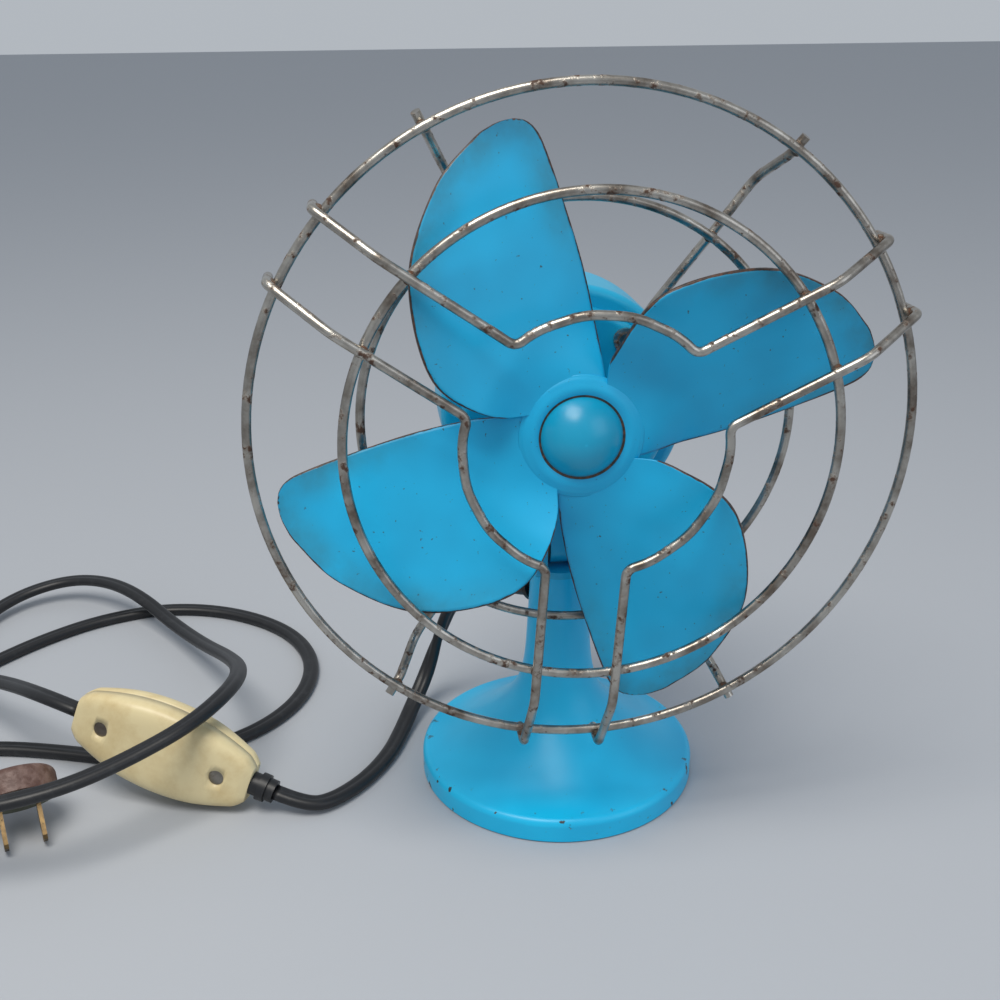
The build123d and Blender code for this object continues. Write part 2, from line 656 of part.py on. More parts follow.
save(rotor_shaft.part, "rotor_shaft")
save(rotor_core.part, "rotor_core")
save(rotor_end_rings.part, "rotor_end_rings")
save(thrust_washers.part, "thrust_washers")
save(blade_collar.part, "blade_collar")
save(set_screw.part, "set_screw")
save(fan_blade.part, "fan_blade")
save(hub_cap.part, "hub_cap")

# ================================================================ in-line switch
# Its own frame: x along the lead towards the fan, y across, z out of the back that lies up.
switch_frame = Plane(Location(SWITCH_MID) * Rot(0, 0, SWITCH_YAW) * Rot(0, SWITCH_SLOPE, 0)
                     * Rot(SWITCH_ROLL, 0, 0))
switch_axis = Axis(switch_frame.origin, switch_frame.z_dir)
END_W = 17.0
END_T = 11.5
FLAT_X = 17.0  # half length of the flat middle
SLIDE_L = 9.0
SLIDE_W = 7.0
TRAVEL = 5.0
SLOT_MARGIN = 0.5


def switch_block(grow=0.0):
    """The boat shape of the closed switch, smaller all round by a negative growth."""
    half_l = SWITCH_L / 2 + grow
    with BuildPart(mode=Mode.PRIVATE) as made:
        with BuildSketch(switch_frame.offset(-SWITCH_T / 2 - grow)):
            with BuildLine():
                side = Spline((-half_l, END_W / 2 + grow), (0, SWITCH_W / 2 + grow), (half_l, END_W / 2 + grow))
                far = Spline((half_l, -END_W / 2 - grow), (0, -SWITCH_W / 2 - grow), (-half_l, -END_W / 2 - grow))
                Line(side @ 1, far @ 0)
                Line(far @ 1, side @ 0)
            make_face()
        extrude(amount=SWITCH_T + 2 * grow)
        with BuildSketch(switch_frame * Plane.XZ.offset(-SWITCH_W)):
            with BuildLine():
                high, low = SWITCH_T / 2 + grow, END_T / 2 + grow
                Polyline((-half_l, low), (-FLAT_X, high), (FLAT_X, high), (half_l, low),
                         (half_l, -low), (FLAT_X, -high), (-FLAT_X, -high), (-half_l, -low), close=True)
            make_face()
        extrude(amount=2 * SWITCH_W, mode=Mode.INTERSECT)
    return made.part


SCREW_X = 22.5
outer_block = switch_block()
inner_block = switch_block(-SWITCH_WALL)

with BuildPart() as switch_back:
    add(outer_block)
    split(bisect_by=switch_frame, keep=Keep.TOP)
    add(inner_block, mode=Mode.SUBTRACT)
    with BuildSketch(switch_frame):
        with Locations((-SCREW_X, 0), (SCREW_X, 0)):
            Circle(4.0)
    extrude(amount=SWITCH_T / 2 - SWITCH_WALL + 0.3)
    with BuildSketch(switch_frame):
        with Locations((-SCREW_X, 0), (SCREW_X, 0)):
            Circle(SCREW_R + 0.1)
    extrude(amount=SWITCH_T, mode=Mode.SUBTRACT)
    with BuildSketch(switch_frame.offset(4.5)):
        with Locations((-SCREW_X, 0), (SCREW_X, 0)):
            Circle(2.9)
    extrude(amount=SWITCH_T, mode=Mode.SUBTRACT)
    with BuildSketch(switch_frame * Plane.YZ.offset(-SWITCH_L)):
        Circle(CORD_D / 2 + 0.1)
    extrude(amount=2 * SWITCH_L, mode=Mode.SUBTRACT)

with BuildPart() as switch_front:
    add(outer_block)
    split(bisect_by=switch_frame, keep=Keep.BOTTOM)
    add(inner_block, mode=Mode.SUBTRACT)
    with BuildSketch(switch_frame):
        with Locations((-SCREW_X, 0), (SCREW_X, 0)):
            Circle(4.0)
    extrude(amount=-SWITCH_T / 2 + SWITCH_WALL - 0.3)
    with BuildSketch(switch_frame):
        with Locations((-SCREW_X, 0), (SCREW_X, 0)):
            Circle(SCREW_R)
    extrude(amount=-6, mode=Mode.SUBTRACT)
    with BuildSketch(switch_frame * Plane.YZ.offset(-SWITCH_L)):
        Circle(CORD_D / 2 + 0.1)
    extrude(amount=2 * SWITCH_L, mode=Mode.SUBTRACT)
    with BuildSketch(switch_frame.offset(-SWITCH_T)):
        with Locations((TRAVEL / 2, 0)):
            Rectangle(SLIDE_L + TRAVEL + 2 * SLOT_MARGIN, SLIDE_W + 2 * SLOT_MARGIN)
    extrude(amount=SWITCH_T - 4, mode=Mode.SUBTRACT)

with BuildPart() as switch_screws:
    with BuildSketch(switch_frame.offset(-5.5)):
        with Locations((-SCREW_X, 0), (SCREW_X, 0)):
            Circle(SCREW_R - 0.05)
    extrude(amount=10)
    with BuildSketch(switch_frame.offset(4.5)):
        with Locations((-SCREW_X, 0), (SCREW_X, 0)):
            Circle(2.7)
    extrude(amount=1.8)

slider_out = -SWITCH_T / 2 - 2.2
with BuildPart() as switch_slider:
    with BuildSketch(switch_frame.offset(slider_out)):
        Rectangle(SLIDE_L, SLIDE_W)
    extrude(amount=-slider_out - 3.0)
    fillet(switch_slider.faces().sort_by(switch_axis)[0].edges(), 0.8)
    with BuildSketch(switch_frame.offset(-SWITCH_T / 2 + SWITCH_WALL + 0.6)):
        Rectangle(SLIDE_L + 5, SLIDE_W + 5)
    extrude(amount=1.6)

with BuildPart() as switch_contacts:
    for y in (-4.5, 4.5):
        with BuildSketch(switch_frame.offset(1.2)):
            with Locations((0, y)):
                Rectangle(26, 4)
        extrude(amount=0.8)
        with BuildSketch(switch_frame.offset(1.2)):
            with Locations((-10, y), (10, y)):
                Rectangle(4, 4)
        extrude(amount=5.2)

SLEEVE_L = 9.0
with BuildPart() as switch_sleeve:
    with BuildSketch(switch_frame * Plane.YZ.offset(SWITCH_L / 2)):
        Circle(CORD_D / 2 + 1.5)
    extrude(amount=SLEEVE_L)
    with BuildSketch(switch_frame * Plane.YZ.offset(SWITCH_L / 2 + 3)):
        Circle(CORD_D / 2 + 2.4)
    extrude(amount=3)

save(switch_back.part, "switch_back")
save(switch_front.part, "switch_front")
save(switch_screws.part, "switch_screws")
save(switch_slider.part, "switch_slider")
save(switch_contacts.part, "switch_contacts")
save(switch_sleeve.part, "switch_sleeve")

# ================================================================ plug
# Its own frame: z out of the face along the pins. It rests on its rim and the pins' tips.
plug_dir = Vector(0.24, -0.70, -0.67).normalized()
neck_dir = Vector(-0.90, 0.156, 0.40).normalized()
plug_frame = Plane(origin=PLUG_FACE, x_dir=(0.946, 0.324, 0), z_dir=plug_dir)
FIBRE_DISC = 1.0
NECK_L = 26.0  # middle of the body to the end of the neck
neck_frame = Plane(origin=plug_frame.from_local_coords(Vector(0, 0, -FIBRE_DISC - PLUG_T / 2)), z_dir=neck_dir)

with BuildPart() as plug_body:
    with BuildSketch(plug_frame.offset(-FIBRE_DISC)):
        Circle(PLUG_R)
    extrude(amount=-PLUG_T)
    fillet(plug_body.faces().sort_by(Axis(plug_frame.origin, plug_frame.z_dir))[0].edges(), 3.0)
    with BuildSketch(neck_frame.offset(8)):
        Circle(PLUG_T / 2 - 0.2)
    with BuildSketch(neck_frame.offset(NECK_L)):
        Circle(CORD_D / 2 + 1.2)
    loft()

with BuildPart() as plug_face:
    with BuildSketch(plug_frame):
        Circle(PLUG_R - 1.4)
    extrude(amount=-FIBRE_DISC)

with BuildPart() as plug_pins:
    with BuildSketch(plug_frame):
        with Locations((-PIN_SPACING / 2, 0), (PIN_SPACING / 2, 0)):
            Rectangle(1.5, 6.3)
    extrude(amount=PIN_L)
    tips = plug_pins.faces().sort_by(Axis(plug_frame.origin, plug_frame.z_dir))[-2:]
    chamfer(tips.edges().filter_by(lambda edge: edge.length < 2), 1.2)

save(plug_body.part, "plug_body")
save(plug_face.part, "plug_face")
save(plug_pins.part, "plug_pins")

# ================================================================ lead
def lead(points, name):
    """A tube on straight runs joined by the largest tangent arcs that the runs allow."""
    radii = []
    for before, here, after in zip(points, points[1:], points[2:]):
        run_in = Vector(*here) - Vector(*before)
        run_out = Vector(*after) - Vector(*here)
        bend = radians(run_in.get_angle(run_out))
        radii.append(0.45 * min(run_in.length, run_out.length) / tan(bend / 2))
    with BuildPart() as made:
        with BuildLine() as line:
            FilletPolyline(*points, radius=radii)
        with BuildSketch(Plane(origin=line.line @ 0, z_dir=line.line % 0)):
            Circle(CORD_D / 2)
        sweep(path=line.line)
    length = line.wire().length
    ideal = pi * (CORD_D / 2) ** 2 * length
    print(name, "length", round(length), "volume ratio", round(made.part.volume / ideal, 4))
    print(name, "radii", [round(r, 1) for r in radii])
    save(made.part, name)


sleeve_end = switch_frame.from_local_coords(Vector(SWITCH_L / 2 + SLEEVE_L, 0, 0))
switch_end = switch_frame.from_local_coords(Vector(-SWITCH_L / 2, 0, 0))
plug_end = neck_frame.from_local_coords(Vector(0, 0, NECK_L))

LEAD_OUT = 14.0  # straight stretch out of the grommet and of the switch
fan_side_route = [
    tuple(cord_start),
    tuple(cord_start + exit_dir * LEAD_OUT),
    (-35.0, 46.0, 45.0),
    (-40.5, 50.0, 28.0),
    (-46.0, 46.0, 13.0),
    (-52.0, 36.0, 5.0),
    (-57.0, 23.0, 2.6),
    (-62.5, 7.5, 2.6),
    (-71.5, -7.5, 2.6),
    (-83.5, -20.0, 2.8),
    tuple(sleeve_end + switch_frame.x_dir * 12.0),
    tuple(sleeve_end),
]
plug_side_route = [
    tuple(switch_end),
    tuple(switch_end - switch_frame.x_dir * LEAD_OUT),
    (-207.0, 40.0, 24.0),
    (-226.0, 58.0, 17.0),
    (-239.0, 82.0, 11.0),
    (-244.0, 107.0, 5.0),
    (-240.0, 131.0, 5.0),
    (-226.0, 149.0, 7.0),
    (-206.0, 154.5, 10.0),
    (-187.0, 145.0, 13.0),
    (-170.0, 128.0, 13.5),
    (-153.0, 107.0, 9.0),
    (-137.0, 80.0, 13.0),
    (-124.0, 53.0, 22.0),
    (-117.0, 28.0, 31.0),
    (-118.0, 3.0, 38.0),
    (-130.0, -19.0, 38.0),
    (-150.0, -32.0, 34.0),
    (-168.0, -44.0, 33.0),
    (-188.0, -50.0, 32.0),
    (-209.0, -48.0, 28.0),
    (-228.0, -36.0, 20.0),
    (-241.0, -14.0, 8.0),
    (-245.0, 12.0, 2.6),
    (-235.0, 27.0, 2.6),
    (-214.0, 30.0, 2.6),
    (-184.0, 23.0, 2.6),
    (-159.0, 14.5, 2.6),
    (-134.0, 17.0, 2.6),
    (-110.0, 31.0, 2.6),
    (-95.0, 54.0, 2.6),
    (-92.0, 82.0, 2.6),
    (-104.0, 109.0, 2.6),
    (-130.0, 129.0, 2.6),
    (-160.0, 136.0, 2.6),
    (-188.0, 128.0, 2.6),
    (-210.0, 113.0, 2.6),
    (-228.0, 95.0, 2.6),
    (-243.0, 77.0, 2.6),
    (-252.5, 56.0, 3.0),
    (-253.5, 34.0, 7.5),
    (-249.0, 12.0, 19.5),
    (-238.5, -4.5, 28.5),
    tuple(plug_end + neck_dir * 10.0),
    tuple(plug_end),
]
lead(fan_side_route, "cord_fan_side")
lead(plug_side_route, "cord_plug_side")
print("cord start", cord_start, "sleeve", sleeve_end, "switch end", switch_end, "plug end", plug_end)
print("hub", hub, "blade and guard clearance", OUTER_R - WIRE_R - BLADE_R - hypot(*GUARD_SHIFT))
print("switch axis", switch_frame.x_dir, "plug axis", plug_dir)
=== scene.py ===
# %% [markdown]
# # A small enamelled desk fan, finished in Blender
# The shape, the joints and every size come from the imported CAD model, which is loaded first.
# This script gives it finishes, and makes again the few pieces whose looks a CAD solid can't carry:
# the pressed blades, the moulded switch and the flat lead. Everything is in metres.

import json
import math

import bmesh
import bpy
from mathutils import Matrix, Vector


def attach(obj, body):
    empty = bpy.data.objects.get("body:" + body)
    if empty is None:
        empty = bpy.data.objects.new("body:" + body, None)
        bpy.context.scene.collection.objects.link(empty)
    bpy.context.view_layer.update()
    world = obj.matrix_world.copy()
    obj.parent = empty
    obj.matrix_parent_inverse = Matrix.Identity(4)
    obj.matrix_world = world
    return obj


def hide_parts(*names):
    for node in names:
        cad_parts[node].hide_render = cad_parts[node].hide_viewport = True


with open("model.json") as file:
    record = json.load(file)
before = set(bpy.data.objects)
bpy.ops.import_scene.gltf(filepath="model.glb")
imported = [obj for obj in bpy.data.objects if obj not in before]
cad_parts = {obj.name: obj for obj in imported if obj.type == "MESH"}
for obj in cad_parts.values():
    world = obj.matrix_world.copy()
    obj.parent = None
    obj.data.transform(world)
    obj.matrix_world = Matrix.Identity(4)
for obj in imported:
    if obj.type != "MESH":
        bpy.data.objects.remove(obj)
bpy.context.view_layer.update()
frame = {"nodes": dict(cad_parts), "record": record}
MM = 0.001
nodes = frame["nodes"]
joints = {joint["name"]: joint for joint in frame["record"]["behaviour"]["joints"]}

# %% [markdown]
# The head has its own frame: its origin is the middle of the hub, x is to the right, y up across the
# fan's axis and z forward along it. It is read from the spin joint, so it follows the CAD.

# %% Frames of the head and the guard
hub = Vector(joints["fan_spin"]["pos_m"])
forward = Vector(joints["fan_spin"]["axis"]).normalized()
right = Vector((1, 0, 0))
upward = forward.cross(right)


def placement(origin, x_axis, y_axis, z_axis):
    """A matrix that takes a piece's own frame to the object's."""
    turn = Matrix((x_axis, y_axis, z_axis)).transposed().to_4x4()
    return Matrix.Translation(origin) @ turn


head = placement(hub, right, upward, forward)
guard = head @ Matrix.Translation((2 * MM, 1 * MM, 0)) @ Matrix.Rotation(math.radians(-4.5), 4, "Z")
print("hub at", tuple(round(v, 4) for v in hub))


# %% [markdown]
# ## Camera, floor and light
# The camera stands a little to the left of the fan and looks down on it. The light is that of a plain
# studio: one large soft lamp high up and a little to the left, a weaker one on the right, and a pale
# sky all round.
# Colours are shown as they are, without a film curve, so that the enamel keeps its strength.

# %% Camera
def camera_at(place, look_right, look_up, lens):
    """A camera with its image axes given as vectors."""
    data = bpy.data.cameras.new("camera")
    data.lens = lens
    data.clip_start = 0.01
    made = bpy.data.objects.new("camera", data)
    bpy.context.collection.objects.link(made)
    back = look_right.cross(look_up)
    made.matrix_world = placement(place, look_right, look_up, back)
    return made


camera = camera_at(
    Vector((-0.06664, -0.41623, 0.29141)),
    Vector((0.99385, -0.11063, -0.00352)).normalized(),
    Vector((0.04758, 0.39827, 0.91603)).normalized(),
    47.8,
)
bpy.context.scene.camera = camera
bpy.context.scene.view_settings.view_transform = "Standard"
print("camera", tuple(round(v, 3) for v in camera.location))


# %% [markdown]
# Colours are written as sRGB hex values, as a colour picker shows them. Blender's sockets want linear
# light, so one function turns one into the other.

# %% Colour and node helpers
def linear(code):
    """Linear RGBA of an sRGB hex colour such as 1E90C8."""
    parts = [int(code[k:k + 2], 16) / 255 for k in (0, 2, 4)]
    return (*[c / 12.92 if c <= 0.04045 else ((c + 0.055) / 1.055) ** 2.4 for c in parts], 1.0)


def add(tree, kind, settings=None, inputs=None):
    """Adds a node. Settings are its own properties; inputs are values or output sockets."""
    node = tree.nodes.new(kind)
    for key, value in (settings or {}).items():
        setattr(node, key, value)
    for key, value in (inputs or {}).items():
        socket = node.inputs[key]
        if isinstance(value, bpy.types.NodeSocket):
            tree.links.new(value, socket)
        else:
            socket.default_value = value
    return node


def new_material(name, **shader):
    """A material with one Principled shader; returns the material, its tree and the shader."""
    made = bpy.data.materials.new(name)
    made.use_nodes = True
    tree = made.node_tree
    tree.nodes.clear()
    principled = add(tree, "ShaderNodeBsdfPrincipled", inputs=shader)
    out = add(tree, "ShaderNodeOutputMaterial")
    tree.links.new(principled.outputs["BSDF"], out.inputs["Surface"])
    return made, tree, principled


def speckle(tree, place, size_mm, low, high, detail=4.0):
    """A mask from noise of about this grain in millimetres, 0 below low and 1 above high."""
    noise = add(tree, "ShaderNodeTexNoise", inputs={
        "Vector": place, "Scale": 1 / (size_mm * MM), "Detail": detail, "Roughness": 0.6})
    ramp = add(tree, "ShaderNodeMapRange", {"clamp": True}, {
        "Value": noise.outputs["Fac"], "From Min": low, "From Max": high})
    return ramp.outputs["Result"]


def mixed(tree, factor, first, second):
    """Second colour over the first by a factor."""
    mix = add(tree, "ShaderNodeMix", {"data_type": "RGBA"}, {0: factor})
    for socket, value in ((mix.inputs[6], first), (mix.inputs[7], second)):
        if isinstance(value, bpy.types.NodeSocket):
            tree.links.new(value, socket)
        else:
            socket.default_value = value
    return mix.outputs[2]


def product(tree, first, second):
    """Two masks multiplied."""
    return add(tree, "ShaderNodeMath", {"operation": "MULTIPLY"}, {0: first, 1: second}).outputs[0]


def bumped(tree, principled, height, depth_mm):
    """Relief of this depth from a height mask."""
    bump = add(tree, "ShaderNodeBump", inputs={"Height": height, "Distance": depth_mm * MM, "Strength": 1.0})
    tree.links.new(bump.outputs["Normal"], principled.inputs["Normal"])


print("helpers ready")

# %% Floor and lights
floor_material, _, _ = new_material("floor_paper", **{"Base Color": linear("AEB2B8"), "Roughness": 0.9})
bpy.ops.mesh.primitive_plane_add(size=6, location=(0, 0, 0))
floor = bpy.context.object
floor.name = "floor"
floor.data.materials.append(floor_material)


def soft_light(name, place, aim, width, power, tint):
    """A square lamp of this width that looks at a point."""
    data = bpy.data.lights.new(name, "AREA")
    data.size = width
    data.energy = power
    data.color = linear(tint)[:3]
    made = bpy.data.objects.new(name, data)
    bpy.context.collection.objects.link(made)
    made.location = place
    made.rotation_euler = (Vector(aim) - Vector(place)).to_track_quat("-Z", "Y").to_euler()


soft_light("key_light", (-0.28, -0.32, 1.05), (0, 0, 0.1), 0.55, 8.8, "FFFAF2")
soft_light("fill_light", (0.9, -0.8, 0.7), (0, 0, 0.1), 0.9, 2.4, "EEF4FF")
world = bpy.data.worlds.new("pale_room")
bpy.context.scene.world = world
world.use_nodes = True
world.node_tree.nodes["Background"].inputs["Color"].default_value = linear("DDE4EC")
world.node_tree.nodes["Background"].inputs["Strength"].default_value = 0.62
print("floor and", len(bpy.data.lights), "lamps")


# %% [markdown]
# ## Enamel
# Stoved enamel on cast and pressed metal: a smooth coloured film about a tenth of a millimetre thick,
# satin rather than wet with age. It is a dielectric, so metallic stays at zero. Handling leaves faint
# clouds in the colour, small dark pits, and chips that show dark iron where an edge has been knocked.
# A sheet's edge is known by an attribute that its mesh carries, the foot's rim by its place.

# %% Enamel materials
def enamel(name, colour, darker, chips=None, pits=0.70, roughness=0.36, grime=None):
    """Stoved enamel; chips and grime are functions of the tree and the place that give masks."""
    made, tree, principled = new_material(name, **{"Roughness": roughness, "IOR": 1.52})
    place = add(tree, "ShaderNodeTexCoord").outputs["Object"]
    clouds = speckle(tree, place, 30, 0.30, 0.75, 2.0)
    film = mixed(tree, clouds, linear(colour), linear(darker))
    dust = speckle(tree, place, 1.6, pits, pits + 0.05, 2.0)
    film = mixed(tree, dust, film, linear("2B5363"))
    if grime:
        film = mixed(tree, grime(tree, place), film, linear("2C6E80"))
    if chips:
        # On the blade's pressed middle this mask and the dark colour below are painted shade of the groove
        # round the dome; on the sheet's edge and the foot's rim they are chips.
        chips_and_painted_shade = chips(tree, place)
        rust = mixed(tree, speckle(tree, place, 1.4, 0.42, 0.62), linear("2A2422"), linear("5B3A26"))
        film = mixed(tree, chips_and_painted_shade, film, rust)
        bumped(tree, principled, chips_and_painted_shade, -0.12)
    tree.links.new(film, principled.inputs["Base Color"])
    return made


def rim_chips(tree, place):
    """Knocks along the low rim of the foot: a band by radius and height, broken by noise."""
    parts = add(tree, "ShaderNodeSeparateXYZ", inputs={"Vector": place})
    flat = add(tree, "ShaderNodeCombineXYZ", inputs={"X": parts.outputs["X"], "Y": parts.outputs["Y"]})
    reach = add(tree, "ShaderNodeVectorMath", {"operation": "LENGTH"}, {0: flat.outputs[0]})
    outer = add(tree, "ShaderNodeMapRange", {"clamp": True}, {
        "Value": reach.outputs["Value"], "From Min": 44 * MM, "From Max": 49.5 * MM})
    return product(tree, outer.outputs["Result"], speckle(tree, place, 5.0, 0.645, 0.66))


def edge_chips_and_groove_shade(tree, place):
    """A thin broken dark line where the sheet's edge has lost its film; on the pressed middle the same mask
    paints the shade of the groove round the dome.
    """
    near = add(tree, "ShaderNodeAttribute", {"attribute_name": "edge"}).outputs["Fac"]
    rough = speckle(tree, place, 7.0, 0.35, 0.75)
    breaks = 0.20  # how much the noise widens the line in places
    total = add(tree, "ShaderNodeMath", {"operation": "MULTIPLY_ADD"}, {0: rough, 1: breaks, 2: near})
    return add(tree, "ShaderNodeMapRange", {"clamp": True}, {
        "Value": total.outputs[0], "From Min": 0.90, "From Max": 0.99}).outputs["Result"]


def edge_grime(tree, place):
    """Dust that has baked into the film towards the outer edge, in soft clouds."""
    near = add(tree, "ShaderNodeAttribute", {"attribute_name": "grime"}).outputs["Fac"]
    return product(tree, near, speckle(tree, place, 14.0, 0.15, 0.85))


foot_enamel = enamel("cast_enamel_chipped", "0CC2F2", "06B4E6", rim_chips, 0.75)
motor_enamel = enamel("drum_enamel", "10B0DA", "0A9EC8", None, 0.76)
blade_enamel = enamel("pressed_sheet_enamel", "00B2E4", "009ECE", edge_chips_and_groove_shade, 0.705, 0.42, edge_grime)
cap_enamel = enamel("dome_enamel", "10A2CA", "0890B6", None, 0.78, 0.30)
print("enamels ready")


# %% [markdown]
# ## Metals
# The cage is drawn steel wire that was plated; the plating has gone grey and broken into brown specks
# of rust. Rust isn't metallic, so the same mask lowers metallic and raises roughness.

# %% Metal materials
def old_metal(name, bright, dull, grain_mm, rust_low, rough_low=0.34, rust_tint="5A3B28"):
    """A metal with dull patches and rust specks."""
    made, tree, principled = new_material(name)
    place = add(tree, "ShaderNodeTexCoord").outputs["Object"]
    metal = mixed(tree, speckle(tree, place, grain_mm * 3, 0.38, 0.68), linear(bright), linear(dull))
    rust = speckle(tree, place, grain_mm, rust_low, rust_low + 0.10, 6.0)
    tree.links.new(mixed(tree, rust, metal, linear(rust_tint)), principled.inputs["Base Color"])
    metallic = add(tree, "ShaderNodeMapRange", inputs={"Value": rust, "To Min": 1.0, "To Max": 0.1})
    rough = add(tree, "ShaderNodeMapRange", inputs={"Value": rust, "To Min": rough_low, "To Max": 0.85})
    tree.links.new(metallic.outputs["Result"], principled.inputs["Metallic"])
    tree.links.new(rough.outputs["Result"], principled.inputs["Roughness"])
    bumped(tree, principled, rust, 0.08)
    return made


wire_plating = old_metal("plated_wire_rusted", "B8B4AC", "746A60", 3.4, 0.555, 0.30, "4A3529")
weld_scale = old_metal("weld_scale", "7C7166", "5B4F45", 1.2, 0.46, 0.55)
screw_plating = old_metal("plated_screw", "8F8A82", "6E6961", 1.5, 0.58)
shaft_steel = old_metal("ground_shaft_steel", "A8A8A8", "8C8C8C", 4.0, 0.70, 0.22)
brass = old_metal("tarnished_brass", "8A7350", "5E5140", 1.5, 0.60, 0.40, "3A3428")
copper = old_metal("varnished_copper", "A8623C", "8A4E30", 1.5, 0.75, 0.35)
print("metals ready")


# %% [markdown]
# ## Plastics, rubber and fibre
# The lead is soft vinyl, black and a little dusty. The switch is moulded urea resin gone to ivory; the
# plug is a brown phenolic moulding, rubbed dull, with a plate of grey-green vulcanised fibre.

# %% Moulded materials
def moulding(name, colour, worn, grain_mm, roughness, low=0.45, high=0.75, relief=0.02):
    """A moulded piece with faint patches of wear."""
    made, tree, principled = new_material(name, **{"Roughness": roughness, "IOR": 1.5})
    place = add(tree, "ShaderNodeTexCoord").outputs["Object"]
    wear = speckle(tree, place, grain_mm, low, high)
    tree.links.new(mixed(tree, wear, linear(colour), linear(worn)), principled.inputs["Base Color"])
    bumped(tree, principled, wear, relief)
    return made


ivory = moulding("ivory_urea", "DDCDA0", "CDB888", 9, 0.38)
actuator_resin = moulding("green_resin", "A9B27A", "8E9862", 4, 0.40)
bakelite = moulding("brown_phenolic", "5A4038", "7A625A", 3, 0.50, 0.42, 0.66, 0.10)
fibre = moulding("vulcanised_fibre", "6B6D5E", "565848", 3, 0.75)
vinyl = moulding("black_vinyl", "16171A", "2B2C2E", 5, 0.42, 0.55, 0.80)
felt = moulding("pressed_felt", "23302A", "1A241F", 1, 0.95)
inner_steel = moulding("varnished_laminations", "4A4846", "3C3A38", 2, 0.55)
print("mouldings ready")


# %% [markdown]
# Each CAD node that shows as it is gets one finish. Its mesh is loose triangles with flat facets, so
# nothing is changed but the material.

# %% Finishes of the CAD nodes
finishes = {
    "stand_shell": foot_enamel, "yoke": motor_enamel, "tilt_lug": motor_enamel,
    "motor_front": motor_enamel, "motor_rear": motor_enamel, "hub_cap": cap_enamel,
    "base_plate": screw_plating, "base_screws": screw_plating, "base_pad": felt,
    "tilt_washers": screw_plating, "tilt_bolt": screw_plating, "wing_nut": screw_plating,
    "friction_washers": fibre, "cord_grommet": vinyl, "switch_sleeve": vinyl,
    "housing_screws": screw_plating, "guard_screws": screw_plating, "set_screw": screw_plating,
    "guard_outer_ring": wire_plating, "guard_front_ring": wire_plating, "guard_rear_ring": wire_plating,
    "guard_front_wires": wire_plating, "guard_rear_spokes": wire_plating,
    "rotor_shaft": shaft_steel, "blade_collar": shaft_steel, "front_bush": brass, "rear_bush": brass,
    "rotor_core": inner_steel, "stator_core": inner_steel, "rotor_end_rings": shaft_steel,
    "thrust_washers": fibre, "stator_coils": copper, "switch_screws": screw_plating,
    "switch_slider": actuator_resin, "switch_contacts": brass, "plug_body": bakelite,
    "plug_face": fibre, "plug_pins": brass,
}
for name, finish in finishes.items():
    nodes[name].data.materials.clear()
    nodes[name].data.materials.append(finish)
print(len(finishes), "nodes finished")


# %% [markdown]
# ## Blades
# The fan is one pressed sheet: a flat middle with a raised ring, and four lobes that twist out of it.
# One lobe is laid out as rows between its nearly straight trailing edge and its round leading edge. A
# Geometry Nodes tree repeats the lobe round the axis, as the press tool does, and Solidify gives it
# the thickness of the sheet.

# %% Shared mesh helpers
def smooth_curve(points, count):
    """Points evenly along a smooth curve through the given ones (Catmull-Rom)."""
    points = [Vector(p) for p in points]
    ends = [points[0] * 2 - points[1], *points, points[-1] * 2 - points[-2]]
    fine = []
    for a, b, c, d in zip(ends, ends[1:], ends[2:], ends[3:]):
        for k in range(24):
            t = k / 24
            fine.append(0.5 * (2 * b + (c - a) * t + (2 * a - 5 * b + 4 * c - d) * t**2
                               + (3 * b - a - 3 * c + d) * t**3))
    fine.append(points[-1])
    run = [0.0]
    for a, b in zip(fine, fine[1:]):
        run.append(run[-1] + (b - a).length)
    out, k = [], 0
    for i in range(count + 1):
        want = run[-1] * i / count
        while k < len(run) - 2 and run[k + 1] < want:
            k += 1
        share = (want - run[k]) / max(run[k + 1] - run[k], 1e-9)
        out.append(fine[k].lerp(fine[k + 1], min(max(share, 0), 1)))
    return out


def new_object(name, verts, faces, finish=None, smooth=True):
    """A mesh object from lists, with its normals turned outwards."""
    mesh = bpy.data.meshes.new(name)
    mesh.from_pydata([tuple(v) for v in verts], [], faces)
    tidy = bmesh.new()
    tidy.from_mesh(mesh)
    bmesh.ops.remove_doubles(tidy, verts=tidy.verts, dist=1e-6)
    bmesh.ops.recalc_face_normals(tidy, faces=tidy.faces)
    tidy.to_mesh(mesh)
    tidy.free()
    for face in mesh.polygons:
        face.use_smooth = smooth
    if finish:
        mesh.materials.append(finish)
    made = bpy.data.objects.new(name, mesh)
    bpy.context.collection.objects.link(made)
    return made


def baked(obj, name=None):
    """The object with its modifiers turned into plain mesh and removed."""
    graph = bpy.context.evaluated_depsgraph_get()
    mesh = bpy.data.meshes.new_from_object(obj.evaluated_get(graph))
    obj.modifiers.clear()
    obj.data = mesh
    mesh.name = name or obj.name
    return obj


def smoothstep(low, high, value):
    """0 below low, 1 above high, and an even rise between."""
    t = min(max((value - low) / (high - low), 0), 1)
    return t * t * (3 - 2 * t)


# %% One lobe of the blade
SHEET_T = 1.0
SHEET_S = -5.0  # middle of the sheet, forward of the hub's middle
DISC_R = 18.5
PITCH = math.tan(math.radians(20))
PITCH_LINE = math.radians(115)  # the line through the hub that the lobe is twisted about
ROWS, COLUMNS = 60, 44
trailing = [(7.7, 13.0, 0), (5.5, 30, 0), (1.0, 51.5, 0), (-6.0, 74, 0), (-10.6, 86.6, 0),
            (-13.2, 91.2, 0), (-16.2, 93.5, 0), (-19.5, 94.1, 0)]
leading = [(-13.0, 7.5, 0), (-28.0, 9.2, 0), (-46.0, 22.4, 0), (-51.8, 51.5, 0), (-43.5, 75.8, 0),
           (-32.0, 88.6, 0), (-26.6, 92.2, 0), (-23.0, 93.6, 0), (-19.5, 94.1, 0)]


